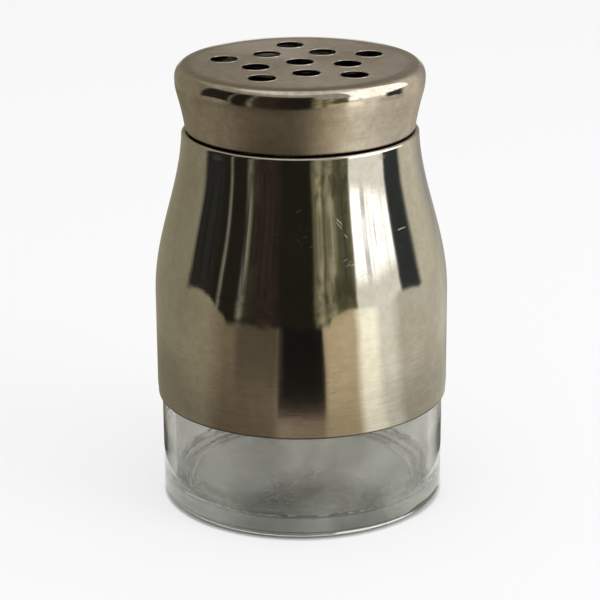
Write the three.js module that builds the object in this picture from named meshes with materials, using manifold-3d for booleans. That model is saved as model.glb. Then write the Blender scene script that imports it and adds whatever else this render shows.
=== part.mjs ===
// Table spice shaker: a glass jar with a bell shoulder, a steel sleeve bonded over it, and a
// perforated steel screw cap with a moulded thread insert and a sealing ring.
// Millimetres, +Z up, origin at the centre of the jar's foot.
import * as THREE from 'three';
import { mergeVertices } from 'three/addons/utils/BufferGeometryUtils.js';
import Module from 'manifold-3d';

const wasm = await Module();
wasm.setup();

// Roundness of the turned pieces, the punched holes and the skirt, in facets
const turnedFacets = 48;
const holeFacets = 20;
const skirtSteps = 7;

// Clearances shared by every fit
const seatGap = 0.05; // between flat faces that rest on each other
const fitGap = 0.3; // between round faces that pass each other

// Glass jar: body
const jarHeight = 99.8;
const jarRadius = 32.9;
const jarWall = 2.6;
const jarFloor = 3.6; // inside floor above the table
const jarFloorCorner = 4.0; // inside corner round, floor to wall
const heelWidth = 2.4;
const heelHeight = 2.6;
const bearingWidth = 4.0; // flat ring that the jar stands on
const pushUp = 1.1; // rise of the underside inside the bearing ring

// Glass jar: bell shoulder and neck
const finishHeight = 13.5; // rim above the shoulder's ledge
const ledgeWidth = 3.5; // shoulder's top beyond the neck
const ledgeRound = 0.5;
const bellLength = 40.0; // height that the bell curve takes
const bellOverrun = 3.1; // the curve's head above the ledge
const throatLength = 4.8; // inside step from shoulder to neck
const throatDrop = 0.5; // head of that step below the ledge
const neckRadius = 22.55;
const neckWall = 1.85;
const neckFillet = 0.8;
const rimRound = 0.5;

// Screw thread between the neck and the cap's insert
const threadPitch = 4.23;
const threadDepth = 1.25;
const threadFlankGap = 0.35;
const threadRoot = 0.5; // how far a ridge reaches into the wall that carries it
const jarThreadFoot = 4.7; // first ridge centre above the ledge
const jarThreadHead = 3.5; // last ridge centre below the rim
const capThreadFoot = 0.4; // first cap ridge above the insert's lower edge
const jarRidgeShares = { root: 0.48, crest: 0.21 }; // ridge widths as shares of the pitch
const capRidgeShares = { root: 0.38, crest: 0.19 };
const runoutShare = 0.07; // part of a turn in which a ridge rises from its wall

// Steel sleeve
const glassBand = 25.0; // bare glass below the sleeve
const sleeveSheet = 0.5;
const sleeveClearance = 0.45; // room for the bond between jar and sleeve
const sleeveTopRound = 0.8;
const hemTuck = 0.15;
const hemHeight = 3.0;
const flangeClearance = 0.5; // sleeve's turned-in flange to the thread

// Bond ring under the sleeve's flange
const bondThickness = 1.0;

// Sealing ring on the rim
const sealThickness = 1.2;

// Moulded thread insert
const insertWall = 1.3;
const webThickness = 1.35;
const webOverlap = 0.2; // the web's opening beyond the neck's bore
const insertFlangeShares = { foot: 0.4, slope: 0.13, head: 0.2 }; // of the cap's roll height

// Steel cap
const capSheet = 0.5;
const capGap = 0.4; // seam between sleeve and skirt
const capFlare = 2.2; // skirt's growth from its foot to the roll
const capFootRound = 0.25;
const rollWidth = 1.86;
const rollHeight = 3.0;
const skirtShares = [
  [0, 0], [0.22, 0.17], [0.45, 0.43], [0.65, 0.7], [0.8, 0.92], [0.92, 0.99], [1, 1],
]; // height and growth along the skirt

// Shaker holes: one in the middle and two rings of five
const holeRadius = 3.15;
const holeFlare = 0.3; // drawn-in edge of each punched hole
const holeMargin = 0.27; // outer ring's holes to the web's opening
const innerRingShare = 0.624; // inner ring's radius to the outer ring's
const ringCount = 5;
const innerRingTurn = 61.5; // degrees
const cutOverrun = 2.0;

// Radii and heights that follow
const ledgeZ = jarHeight - finishHeight;
const bellHeadZ = ledgeZ + bellOverrun;
const bellFootZ = bellHeadZ - bellLength;
const shoulderRadius = neckRadius + ledgeWidth;
const bellDrop = jarRadius - shoulderRadius;
const neckBore = neckRadius - neckWall;
const threadCrest = neckRadius + threadDepth;
const flangeBore = threadCrest + flangeClearance;
const bondFootZ = ledgeZ + seatGap;
const bondHeadZ = bondFootZ + bondThickness;
const sleeveTopZ = bondHeadZ + seatGap + sleeveSheet;
const insertBore = threadCrest + fitGap;
const insertRadius = insertBore + insertWall;
const capFootRadius = insertRadius + fitGap + capSheet;
const capRadius = capFootRadius + capFlare;
const capFootZ = sleeveTopZ + capGap;
const sealFootZ = jarHeight + seatGap;
const sealHeadZ = sealFootZ + sealThickness;
const webFootZ = sealHeadZ + seatGap;
const webHeadZ = webFootZ + webThickness;
const capUndersideZ = webHeadZ + seatGap;
const capTopZ = capUndersideZ + capSheet;
const rollRadius = capRadius - rollWidth;
const rollZ = capTopZ - rollHeight;
const webBore = neckBore + webOverlap;
const outerRingRadius = webBore - holeRadius - holeMargin;
const innerRingRadius = outerRingRadius * innerRingShare;

// Points of an elliptical arc in the radius and height plane, angles in degrees
function arc(centreR, centreZ, radiusR, radiusZ, from, to, steps) {
  const points = [];
  for (let i = 0; i <= steps; i++) {
    const angle = THREE.MathUtils.degToRad(from + ((to - from) * i) / steps);
    points.push([centreR + radiusR * Math.cos(angle), centreZ + radiusZ * Math.sin(angle)]);
  }
  return points;
}

// Radius at a height on the bell that jar and sleeve share, moved out by an offset
function bellRadius(z, offset) {
  const t = THREE.MathUtils.clamp((z - bellFootZ) / bellLength, 0, 1);
  return jarRadius + offset - (bellDrop * (1 - Math.cos(Math.PI * t))) / 2;
}

// Points on that bell between two heights
function bell(fromZ, toZ, offset, steps) {
  const points = [];
  for (let i = 0; i <= steps; i++) {
    const z = fromZ + ((toZ - fromZ) * i) / steps;
    points.push([bellRadius(z, offset), z]);
  }
  return points;
}

// Closed triangles with shared corners and no empty faces
function weld(geometry) {
  geometry.deleteAttribute('normal');
  geometry.deleteAttribute('uv');
  const welded = mergeVertices(geometry);
  const index = welded.getIndex().array;
  const kept = [];
  for (let i = 0; i < index.length; i += 3) {
    const [a, b, c] = index.slice(i, i + 3);
    if (a !== b && b !== c && c !== a) {
      kept.push(a, b, c);
    }
  }
  welded.setIndex(kept);
  return welded;
}

// Turned piece from an outline that runs anticlockwise: out along its foot, then up
function turn(outline, facets = turnedFacets) {
  const profile = outline.map(([r, z]) => new THREE.Vector2(r, z));
  const geometry = new THREE.LatheGeometry(profile, facets);
  geometry.rotateX(Math.PI / 2);
  return weld(geometry);
}

function toSolid(geometry) {
  const mesh = new wasm.Mesh({
    numProp: 3,
    vertProperties: new Float32Array(geometry.getAttribute('position').array),
    triVerts: new Uint32Array(geometry.getIndex().array),
  });
  return new wasm.Manifold(mesh);
}

function toGeometry(solid) {
  const mesh = solid.getMesh();
  const geometry = new THREE.BufferGeometry();
  geometry.setAttribute('position', new THREE.BufferAttribute(mesh.vertProperties, 3));
  geometry.setIndex(new THREE.BufferAttribute(mesh.triVerts, 1));
  return geometry;
}

// Screw ridges: each has the radius of its wall, of its crest and of its buried root
const jarRidge = {
  wall: neckRadius,
  crest: threadCrest,
  root: neckRadius - threadRoot,
  rootHalf: (threadPitch * jarRidgeShares.root) / 2,
  crestHalf: (threadPitch * jarRidgeShares.crest) / 2,
};
const capRidge = {
  wall: insertBore,
  crest: insertBore - threadDepth,
  root: insertBore + threadRoot,
  rootHalf: (threadPitch * capRidgeShares.root) / 2,
  crestHalf: (threadPitch * capRidgeShares.crest) / 2,
};

// Half the width of a ridge at a radius
function halfWidth(ridge, radius) {
  const t = (radius - ridge.root) / (ridge.crest - ridge.root);
  return THREE.MathUtils.lerp(ridge.rootHalf, ridge.crestHalf, t);
}

// The cap's ridge lies under the jar's, one flank gap away at the closest radius
const ridgeMeeting = [capRidge.crest, jarRidge.crest].map(
  (radius) => halfWidth(jarRidge, radius) + halfWidth(capRidge, radius),
);
const ridgeOffset = Math.max(...ridgeMeeting) + threadFlankGap;
const jarThreadStartZ = ledgeZ + jarThreadFoot;
const jarThreadEndZ = jarHeight - jarThreadHead;
const insertFootZ = capFootZ + capSheet + seatGap;
const capThreadStartZ = insertFootZ + capThreadFoot + capRidge.rootHalf;
const capThreadEndZ = jarThreadEndZ - ridgeOffset;

// Right-handed ridge from one height to another; turn zero is where the jar's ridge starts
function screwRidge(ridge, startZ, endZ, startTurn) {
  const turns = (endZ - startZ) / threadPitch;
  const steps = Math.ceil(turns * turnedFacets);
  const positions = [];
  for (let i = 0; i <= steps; i++) {
    const done = (turns * i) / steps;
    const angle = 2 * Math.PI * (startTurn + done);
    const rise = Math.min(done, turns - done) / runoutShare;
    const share = THREE.MathUtils.smoothstep(rise, 0, 1);
    const buried = THREE.MathUtils.lerp(ridge.root, ridge.wall, 0.5);
    const crest = THREE.MathUtils.lerp(buried, ridge.crest, share);
    const z = startZ + threadPitch * done;
    const section = [
      [ridge.root, z - ridge.rootHalf],
      [crest, z - ridge.crestHalf],
      [crest, z + ridge.crestHalf],
      [ridge.root, z + ridge.rootHalf],
    ];
    for (const [r, height] of section) {
      positions.push(r * Math.cos(angle), r * Math.sin(angle), height);
    }
  }
  const outward = ridge.crest > ridge.root;
  const index = [];
  const face = (a, b, c) => index.push(...(outward ? [a, b, c] : [a, c, b]));
  for (let i = 0; i < steps; i++) {
    for (let k = 0; k < 4; k++) {
      const a = 4 * i + k;
      const b = 4 * i + ((k + 1) % 4);
      face(a, a + 4, b);
      face(b, a + 4, b + 4);
    }
  }
  const last = 4 * steps;
  face(0, 1, 2);
  face(0, 2, 3);
  face(last, last + 2, last + 1);
  face(last, last + 3, last + 2);
  const geometry = new THREE.BufferGeometry();
  geometry.setAttribute('position', new THREE.Float32BufferAttribute(positions, 3));
  geometry.setIndex(index);
  return geometry;
}

// Jar: foot with a push-up, heel, body, bell shoulder, ledge, threaded neck and rim
function glassJar() {
  const footRadius = jarRadius - heelWidth;
  const pushUpRadius = footRadius - bearingWidth;
  const domeShares = [0, 0.35, 0.7, 1];
  const ledgeRadius = bellRadius(ledgeZ, 0);
  const innerRadius = jarRadius - jarWall;
  const throatHeadZ = ledgeZ - throatDrop;
  const throatFootZ = throatHeadZ - throatLength;
  const throatFootRadius = bellRadius(throatFootZ, -jarWall);
  const throat = [];
  const throatSteps = 5;
  for (let i = 0; i <= throatSteps; i++) {
    const t = i / throatSteps;
    const ease = THREE.MathUtils.smoothstep(t, 0, 1);
    throat.push([THREE.MathUtils.lerp(neckBore, throatFootRadius, ease), throatHeadZ - throatLength * t]);
  }
  const outline = [
    ...domeShares.map((share) => [pushUpRadius * share, pushUp * (1 - share * share)]),
    ...arc(footRadius, heelHeight, heelWidth, heelHeight, -90, 0, 4),
    ...bell(bellFootZ, ledgeZ - ledgeRound, 0, 8),
    ...arc(ledgeRadius - ledgeRound, ledgeZ - ledgeRound, ledgeRound, ledgeRound, 45, 90, 1),
    ...arc(neckRadius + neckFillet, ledgeZ + neckFillet, neckFillet, neckFillet, -90, -180, 2),
    ...arc(neckRadius - rimRound, jarHeight - rimRound, rimRound, rimRound, 0, 90, 2),
    ...arc(neckBore + rimRound, jarHeight - rimRound, rimRound, rimRound, 90, 180, 2),
    ...throat,
    ...bell(throatFootZ, bellFootZ, -jarWall, 7).slice(1),
    ...arc(innerRadius - jarFloorCorner, jarFloor + jarFloorCorner, jarFloorCorner, jarFloorCorner, 0, -90, 4),
    [0, jarFloor],
  ];
  const ridge = screwRidge(jarRidge, jarThreadStartZ, jarThreadEndZ, 0);
  return toGeometry(toSolid(turn(outline)).add(toSolid(ridge)));
}

// Sleeve: hem tucked in to the glass, bell, rounded top edge and turned-in flange
function steelSleeve() {
  const inner = sleeveClearance;
  const outer = inner + sleeveSheet;
  const hemFootZ = glassBand;
  const hemHeadZ = glassBand + hemHeight;
  const roundZ = sleeveTopZ - sleeveTopRound;
  const topRadius = bellRadius(roundZ, outer) - sleeveTopRound;
  const innerRound = sleeveTopRound - sleeveSheet;
  const outline = [
    [bellRadius(hemFootZ, outer) - hemTuck, hemFootZ],
    [bellRadius(hemHeadZ, outer), hemHeadZ],
    ...bell(Math.max(bellFootZ, hemHeadZ), roundZ, outer, 9).slice(0, -1),
    ...arc(topRadius, roundZ, sleeveTopRound, sleeveTopRound, 0, 90, 3),
    [flangeBore, sleeveTopZ],
    [flangeBore, sleeveTopZ - sleeveSheet],
    ...arc(topRadius, roundZ, innerRound, innerRound, 90, 0, 1),
    ...bell(roundZ, Math.max(bellFootZ, hemHeadZ), inner, 9).slice(1),
    [bellRadius(hemHeadZ, inner), hemHeadZ],
    [bellRadius(hemFootZ, inner) - hemTuck, hemFootZ],
    [bellRadius(hemFootZ, outer) - hemTuck, hemFootZ],
  ];
  return turn(outline);
}

// Plain ring between two radii and two heights
function ring(innerRadius, outerRadius, footZ, headZ) {
  return turn([
    [innerRadius, footZ],
    [outerRadius, footZ],
    [outerRadius, headZ],
    [innerRadius, headZ],
    [innerRadius, footZ],
  ]);
}

// Bond ring: seats on the jar's ledge and carries the sleeve's flange
function sleeveBondRing() {
  const innerRadius = neckRadius + neckFillet + fitGap;
  const outerRadius = bellRadius(ledgeZ, 0) - ledgeRound;
  return ring(innerRadius, outerRadius, bondFootZ, bondHeadZ);
}

// Sealing ring: between the jar's rim and the insert's web
function rimSeal() {
  return ring(webBore, insertBore - fitGap, sealFootZ, sealHeadZ);
}

// Thread insert: threaded wall, web over the rim, and a flange held in the cap's roll
function capThreadInsert() {
  const flangeRadius = capRadius - capSheet - fitGap;
  const flangeFootZ = rollZ - rollHeight * insertFlangeShares.foot;
  const flangeSlope = rollHeight * insertFlangeShares.slope;
  const flangeHeadZ = rollZ + rollHeight * insertFlangeShares.head;
  const outline = [
    [insertBore, insertFootZ],
    [insertRadius, insertFootZ],
    [insertRadius, flangeFootZ],
    [flangeRadius, flangeFootZ + flangeSlope],
    [flangeRadius, flangeHeadZ],
    [rollRadius - fitGap, webHeadZ],
    [webBore, webHeadZ],
    [webBore, webFootZ],
    [insertBore, webFootZ],
    [insertBore, insertFootZ],
  ];
  const startTurn = (capThreadStartZ + ridgeOffset - jarThreadStartZ) / threadPitch;
  const ridge = screwRidge(capRidge, capThreadStartZ, capThreadEndZ, startTurn);
  return toGeometry(toSolid(turn(outline)).add(toSolid(ridge)));
}

// Centres of the shaker holes
function holeCentres() {
  const centres = [[0, 0]];
  const rings = [
    [innerRingRadius, innerRingTurn],
    [outerRingRadius, innerRingTurn + 180 / ringCount],
  ];
  for (const [radius, firstTurn] of rings) {
    for (let i = 0; i < ringCount; i++) {
      const angle = THREE.MathUtils.degToRad(firstTurn + (360 * i) / ringCount);
      centres.push([radius * Math.cos(angle), radius * Math.sin(angle)]);
    }
  }
  return centres;
}

// Cap: flat perforated top, rolled shoulder, flared skirt and a lip turned in under the insert
function capShell() {
  const skirt = new THREE.SplineCurve(skirtShares.map(([s, growth]) => new THREE.Vector2(s, growth)));
  const skirtPoints = skirt.getPoints(skirtSteps).map(({ x, y }) => [
    capFootRadius + capFlare * y,
    capFootZ + (rollZ - capFootZ) * x,
  ]);
  const lipHeadZ = capFootZ + capSheet;
  const insideSkirt = skirtPoints.filter(([, z]) => z > lipHeadZ).map(([r, z]) => [r - capSheet, z]);
  const outsideSkirt = skirtPoints.filter(([, z]) => z > capFootZ + capFootRound);
  const outline = [
    [0, capUndersideZ],
    ...arc(rollRadius, rollZ, rollWidth - capSheet, rollHeight - capSheet, 90, 0, 4).slice(0, -1),
    ...insideSkirt.reverse(),
    [capFootRadius - capSheet, lipHeadZ],
    [flangeBore, lipHeadZ],
    [flangeBore, capFootZ],
    [capFootRadius - capFootRound, capFootZ],
    [capFootRadius, capFootZ + capFootRound],
    ...outsideSkirt,
    ...arc(rollRadius, rollZ, rollWidth, rollHeight, 0, 90, 6).slice(1),
    [0, capTopZ],
  ];
  const punch = turn([
    [0, capUndersideZ - cutOverrun],
    [holeRadius, capUndersideZ - cutOverrun],
    [holeRadius, capTopZ - holeFlare],
    [holeRadius + holeFlare, capTopZ],
    [holeRadius + holeFlare, capTopZ + cutOverrun],
    [0, capTopZ + cutOverrun],
  ], holeFacets);
  let shell = toSolid(turn(outline));
  for (const [x, y] of holeCentres()) {
    shell = shell.subtract(toSolid(punch).translate([x, y, 0]));
  }
  return toGeometry(shell);
}

const clearGlass = { color: 0xd3dad6, roughness: 0.06, metalness: 0, transparent: true, opacity: 0.4 };
const sleeveSteel = { color: 0xb5ada0, roughness: 0.25, metalness: 1 };
const capSteel = { color: 0xb8b0a2, roughness: 0.35, metalness: 1 };
const bondSilicone = { color: 0xd8d5cc, roughness: 0.7, metalness: 0 };
const insertPlastic = { color: 0x1c1c1e, roughness: 0.55, metalness: 0 };
const sealFoam = { color: 0xe4e2da, roughness: 0.8, metalness: 0 };

function piece(name, geometry, finish) {
  const mesh = new THREE.Mesh(geometry, new THREE.MeshStandardMaterial(finish));
  mesh.name = name;
  geometry.computeVertexNormals();
  return mesh;
}

const jar = new THREE.Group();
jar.add(piece('glass_jar', glassJar(), clearGlass));
jar.add(piece('steel_sleeve', steelSleeve(), sleeveSteel));
jar.add(piece('sleeve_bond_ring', sleeveBondRing(), bondSilicone));

const cap = new THREE.Group();
cap.add(piece('rim_seal', rimSeal(), sealFoam));
cap.add(piece('cap_thread_insert', capThreadInsert(), insertPlastic));
cap.add(piece('cap_shell', capShell(), capSteel));

const shaker = new THREE.Group();
shaker.add(jar, cap);

export default shaker;
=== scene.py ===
import math

import bpy
from mathutils import Matrix, Vector


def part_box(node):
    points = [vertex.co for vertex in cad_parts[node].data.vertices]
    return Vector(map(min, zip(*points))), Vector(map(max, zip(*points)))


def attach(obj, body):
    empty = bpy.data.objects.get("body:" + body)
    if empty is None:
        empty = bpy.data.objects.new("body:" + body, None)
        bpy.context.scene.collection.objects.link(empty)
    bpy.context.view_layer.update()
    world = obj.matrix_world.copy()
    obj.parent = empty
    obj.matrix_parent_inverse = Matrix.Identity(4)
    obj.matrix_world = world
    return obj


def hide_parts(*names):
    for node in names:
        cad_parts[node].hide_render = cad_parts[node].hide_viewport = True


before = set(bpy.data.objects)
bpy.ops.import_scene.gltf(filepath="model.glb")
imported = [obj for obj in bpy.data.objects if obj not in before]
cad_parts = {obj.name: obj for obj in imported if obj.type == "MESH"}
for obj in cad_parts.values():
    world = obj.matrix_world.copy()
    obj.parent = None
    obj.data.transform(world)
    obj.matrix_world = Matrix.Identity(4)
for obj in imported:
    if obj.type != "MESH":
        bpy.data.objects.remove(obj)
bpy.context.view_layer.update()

MM = 0.001

# Boxes of the frame's pieces
jar_low, jar_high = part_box("glass_jar")
sleeve_low, sleeve_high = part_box("steel_sleeve")
bond_low, bond_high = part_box("sleeve_bond_ring")
seal_low, seal_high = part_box("rim_seal")
insert_low, insert_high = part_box("cap_thread_insert")
cap_low, cap_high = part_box("cap_shell")

# Outer sizes
JAR_RADIUS = jar_high[0]
JAR_TOP = jar_high[2]
SLEEVE_FOOT = sleeve_low[2]
SLEEVE_TOP = sleeve_high[2]
CAP_FOOT = cap_low[2]
CAP_TOP = cap_high[2]
CAP_RADIUS = cap_high[0]

# Roundness: facets of a turned piece, and of a punched hole
GLASS_STEPS = 240
STEEL_STEPS = 192
INNER_STEPS = 128
HOLE_STEPS = 48
LIP_STEPS = 12

# Glass jar
JAR_WALL = 2.6 * MM
JAR_FLOOR = 3.6 * MM
FLOOR_CORNER = 4.0 * MM
FLOOR_RISE = 0.65 * MM
FLOOR_DISC = 23.4 * MM
FLOOR_GROOVE = 25.2 * MM
HEEL_WIDTH = 2.4 * MM
HEEL_HEIGHT = 2.6 * MM
BEARING_WIDTH = 4.0 * MM
PUSH_UP = 1.1 * MM
DOME_EASE = (0.3 * MM, 0.06 * MM)
STIPPLE_WIDTH = 1.8 * MM
STIPPLE_DEPTH = 0.16 * MM
BODY_DRAFT = 0.1 * MM
FINISH_HEIGHT = 13.5 * MM
LEDGE_WIDTH = 3.5 * MM
LEDGE_ROUND = 0.5 * MM
BELL_LENGTH = 40.0 * MM
BELL_OVERRUN = 3.1 * MM
THROAT_LENGTH = 4.8 * MM
THROAT_DROP = 0.5 * MM
NECK_RADIUS = 22.55 * MM
NECK_WALL = 1.85 * MM
NECK_FILLET = 0.8 * MM
RIM_ROUND = 0.5 * MM

# Rings that the plunger pressed, places where dust and stains settle, and rings of painted shade and of
# painted glints on the inner floor
PRESSED_RINGS = (26.0 * MM, 29.2 * MM)
DUST_PLACE = (5 * MM, -20 * MM, JAR_FLOOR)
STAIN_AND_SHADE_PLACE = (4 * MM, -29 * MM, JAR_FLOOR)
CORNER_SHADE_RING = 28.9 * MM
SHADE_RING = 28.6 * MM
PAINTED_GLINT_RINGS = (25.8 * MM, 27.9 * MM, 29.4 * MM)
INNER_WALL = (31.3 * MM, 32.0 * MM)
INNER_FLOOR = (3.2 * MM, 3.5 * MM)
FLOOR_HEIGHTS = (4.4 * MM, 8.0 * MM)
FILM_TOP = (60 * MM, 66 * MM)

# Outside of the foot: the darkest places of its painted contact shade with the shade's height there, and
# where its painted glints sit
OUTER_WALL = (30.5 * MM, 31.0 * MM)
FOOT_CONTACT_SHADE = (((30 * MM, -15 * MM, 1 * MM), 2.3 * MM), ((-29 * MM, -16 * MM, 0), 0.4 * MM))
MOULD_SEAM = 1.9 * MM
FOOT_GLINT_PLACE = (17 * MM, -29 * MM, 0)
FOOT_GLINT_HEIGHT = 1.15 * MM

# Screw thread
THREAD_PITCH = 4.23 * MM
THREAD_DEPTH = 1.25 * MM
THREAD_ROOT = 0.5 * MM
THREAD_STEPS = 96
JAR_THREAD = {"foot": 91.0 * MM, "turns": 1.253, "root": 2.03 * MM, "crest": 0.89 * MM, "start": 0.0}
CAP_THREAD = {"foot": 90.05 * MM, "turns": 1.09, "root": 1.61 * MM, "crest": 0.80 * MM, "start": 0.161}
RUNOUT = 0.07

# Steel sleeve
SHEET = 0.5 * MM
SLEEVE_ROOM = 0.45 * MM
SLEEVE_TOP_ROUND = 0.8 * MM
HEM_TUCK = 0.15 * MM
HEM_HEIGHT = 3.0 * MM
FLANGE_BORE = 24.3 * MM

# Steel cap
CAP_FOOT_RADIUS = 26.2 * MM
ROLL_WIDTH = 1.86 * MM
ROLL_HEIGHT = 3.0 * MM
ROLL_START = 1.9 * MM
ROLL_FALL = 0.12 * MM
SKIRT_SPREAD = 0.09
SKIRT_SHARES = (
    (0, 0), (0.11, 0.07), (0.28, 0.235), (0.45, 0.43), (0.62, 0.65), (0.79, 0.905), (0.92, 0.99), (1, 1),
)
HOLE_RADIUS = 3.15 * MM
LIP_ROUND = 0.26 * MM
LIP_RISE = 0.13 * MM
LIP_OVERLAP_SHARE = 0.2
INNER_RING = 10.91 * MM
OUTER_RING = 17.48 * MM
RING_TURN = 61.5
RING_COUNT = 5

# Where the steel's finish changes: heights on the sleeve, heights and radii on the cap
SLEEVE_SHINE = (34 * MM, 56 * MM)
ROLL_SHINE = (98.6 * MM, 99.8 * MM)
ROLL_REACH = (22.8 * MM, 26.0 * MM)
HOLES_REACH = (21.8 * MM, 22 * MM)

# Insert and seal
INSERT_BORE = 24.1 * MM
INSERT_WALL = 1.3 * MM
WEB_BORE = 20.9 * MM
WEB_THICKNESS = 1.35 * MM
FIT = 0.3 * MM

# Studio screens, in metres, with azimuths in degrees from the camera to the right
SCREEN_RADIUS = 1.3
SCREEN_LIFT = 0.0015
SCREEN_MOUTH = 0.042
FOOT_SHADE = 0.066
NEAR_SHADE = 0.72
LEAN = 0.05
FLOOR_REACH = 0.22
FLOOR_SOFT = 0.05
FLOOR_EDGES = (
    (-180, 0.35), (-100, 0.35), (-92, 0.4), (-81, 0.48), (-74, 0.435), (-65.5, 0.29), (-59.5, 0.23),
    (-55, 0.18), (14, 0.18), (21, 0.2), (25, 0.335), (31, 0.43), (37, 0.5), (43, 0.47), (51, 0.43),
    (59, 0.395), (68.5, 0.345), (74, 0.41), (79.5, 0.49), (88.5, 0.42), (97, 0.345), (110, 0.31), (180, 0.35),
)
STRIP_AZIMUTHS = (-16.5, 14.5)
STRIP_START = 0.108
STRIP_SOFT = 0.004
DUSK_AZIMUTHS = (-43, -20)
DUSK_START = (0.112, 0.14)
ROOM_AZIMUTHS = (-98, 10)
LEAF_AZIMUTHS = (12, 42)
BLIND_AZIMUTHS = (43.5, 80.5)
BLIND_FOLDS = 26.0
BLIND_DUSK = (0.05, 0.19)
SKYLIGHT_AZIMUTHS = (48, 112)
SKYLIGHT_FOOT = 0.21
BACKDROP_ANGLES = (math.radians(162), math.radians(172))
BACKDROP_HEIGHT = 0.2
CEILING_FOOT = 0.75
CEILING_LAMP = 1.12
CLERESTORY_AZIMUTHS = (14, 46)
CLERESTORY_DROP = 0.38

# Tones of the screens, from dark to bright
PIT = (0.014, 0.014, 0.012)
NIGHT = (0.024, 0.021, 0.016)
COAL = (0.033, 0.034, 0.032)
UMBER = (0.052, 0.037, 0.029)
SLATE = (0.05, 0.056, 0.056)
MOSS = (0.07, 0.07, 0.04)
DUSK = (0.135, 0.107, 0.073)
FERN = (0.13, 0.13, 0.085)
OLIVE = (0.22, 0.21, 0.11)
CLAY = (0.25, 0.2, 0.135)
PALE_BACK = (0.22, 0.19, 0.145)
PALE_LEFT = (0.34, 0.31, 0.22)
DIM = (0.36, 0.34, 0.27)
BEIGE = (0.4, 0.35, 0.25)
SAND = (0.46, 0.36, 0.26)
ASH = (0.44, 0.41, 0.38)
CEILING_TONE = (0.5, 0.47, 0.4)
CREAM = (0.66, 0.6, 0.42)
GOLD = (0.78, 0.64, 0.42)
STONE = (0.76, 0.72, 0.6)
PALE_RIGHT = (0.86, 0.81, 0.66)
FOLD = (0.95, 1.0, 0.97)
WHITE = (1.0, 0.99, 0.96)
SILVER = (1.15, 1.13, 1.0)
BLIND_FOOT = (1.22, 1.19, 1.1)
GLARE = (1.7, 1.65, 1.4)
BLIND = (2.6, 2.6, 2.55)

# Tones at azimuths round the upright screens and round the low one
WALL_TONES = (
    (-180, PALE_BACK), (-150, PALE_LEFT), (-99, PALE_LEFT), (-95, COAL), (-76, COAL), (-70, NIGHT),
    (-67, NIGHT), (-65, DIM), (-63, NIGHT), (-50, NIGHT), (-46.5, DIM), (-43, MOSS), (-38, UMBER),
    (-22, UMBER), (-16, NIGHT), (9, NIGHT), (12, OLIVE), (16, CREAM), (20, OLIVE), (26, CREAM),
    (29, OLIVE), (33, FERN), (42, OLIVE), (44, WHITE), (80, WHITE), (83, SLATE), (101, SLATE),
    (106, PALE_RIGHT), (126, PALE_RIGHT), (148, ASH), (180, PALE_BACK),
)
FLOOR_TONES = (
    (-180, WHITE), (-168, PALE_LEFT), (-100, PALE_LEFT), (-72, BEIGE), (-55, CLAY), (-20, CLAY), (-14, SAND),
    (13, SAND), (18, GOLD), (38, GOLD), (44, GLARE), (54, GLARE), (60, SILVER), (69, SILVER), (77, STONE),
    (135, STONE), (155, ASH), (168, ASH), (180, WHITE),
)

# Heights and radii worked out from the sizes above
LEDGE = JAR_TOP - FINISH_HEIGHT
BELL_HEAD = LEDGE + BELL_OVERRUN
BELL_FOOT = BELL_HEAD - BELL_LENGTH
BELL_DROP = JAR_RADIUS - NECK_RADIUS - LEDGE_WIDTH
NECK_BORE = NECK_RADIUS - NECK_WALL
ROLL_CENTRE = Vector((CAP_RADIUS - ROLL_WIDTH, CAP_TOP - ROLL_HEIGHT))

# The photograph's camera
CAMERA_PLACE = Vector((0, -516.8, 223.96)) * MM
CAMERA_AIM = Vector((-0.33, 0, 46.32)) * MM
CAMERA_ROLL = -0.00697
CAMERA_LENS = 140.72
CAMERA_SENSOR = 36.0


def put_camera():
    bpy.ops.object.camera_add(location=CAMERA_PLACE)
    camera = bpy.context.object
    camera.name = "photo_camera"
    ahead = (CAMERA_AIM - CAMERA_PLACE).normalized()
    right = ahead.cross(Vector((0, 0, 1))).normalized()
    up = right.cross(ahead)
    turned_right = math.cos(CAMERA_ROLL) * right + math.sin(CAMERA_ROLL) * up
    turned_up = math.cos(CAMERA_ROLL) * up - math.sin(CAMERA_ROLL) * right
    turn = Matrix((turned_right, turned_up, -ahead)).transposed().to_4x4()
    camera.matrix_world = Matrix.Translation(CAMERA_PLACE) @ turn
    camera.data.lens = CAMERA_LENS
    camera.data.sensor_width = CAMERA_SENSOR
    camera.data.clip_start = 10 * MM
    bpy.context.scene.camera = camera


# Outlines, as pairs of radius and height


def arc(centre, radii, first, last, steps):
    """Points of an elliptical arc, its angles in degrees."""
    points = []
    for i in range(steps + 1):
        angle = math.radians(first + (last - first) * i / steps)
        points.append((centre[0] + radii[0] * math.cos(angle), centre[1] + radii[1] * math.sin(angle)))
    return points


def ease(t):
    return (1 - math.cos(math.pi * min(max(t, 0), 1))) / 2


def bell_radius(z, offset):
    return JAR_RADIUS + offset - BELL_DROP * ease((z - BELL_FOOT) / BELL_LENGTH)


def bell(low, high, offset, steps):
    heights = [low + (high - low) * i / steps for i in range(steps + 1)]
    return [(bell_radius(z, offset), z) for z in heights]


def level(first, last, height, steps):
    """Points along a flat stretch, both ends left out."""
    return [(first + (last - first) * i / steps, height) for i in range(1, steps)]


# Pieces are drawn and shaped as by hand


def deselect():
    bpy.ops.object.select_all(action="DESELECT")


def choose(*pieces):
    deselect()
    for piece in pieces:
        piece.select_set(True)
    bpy.context.view_layer.objects.active = pieces[0]


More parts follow.
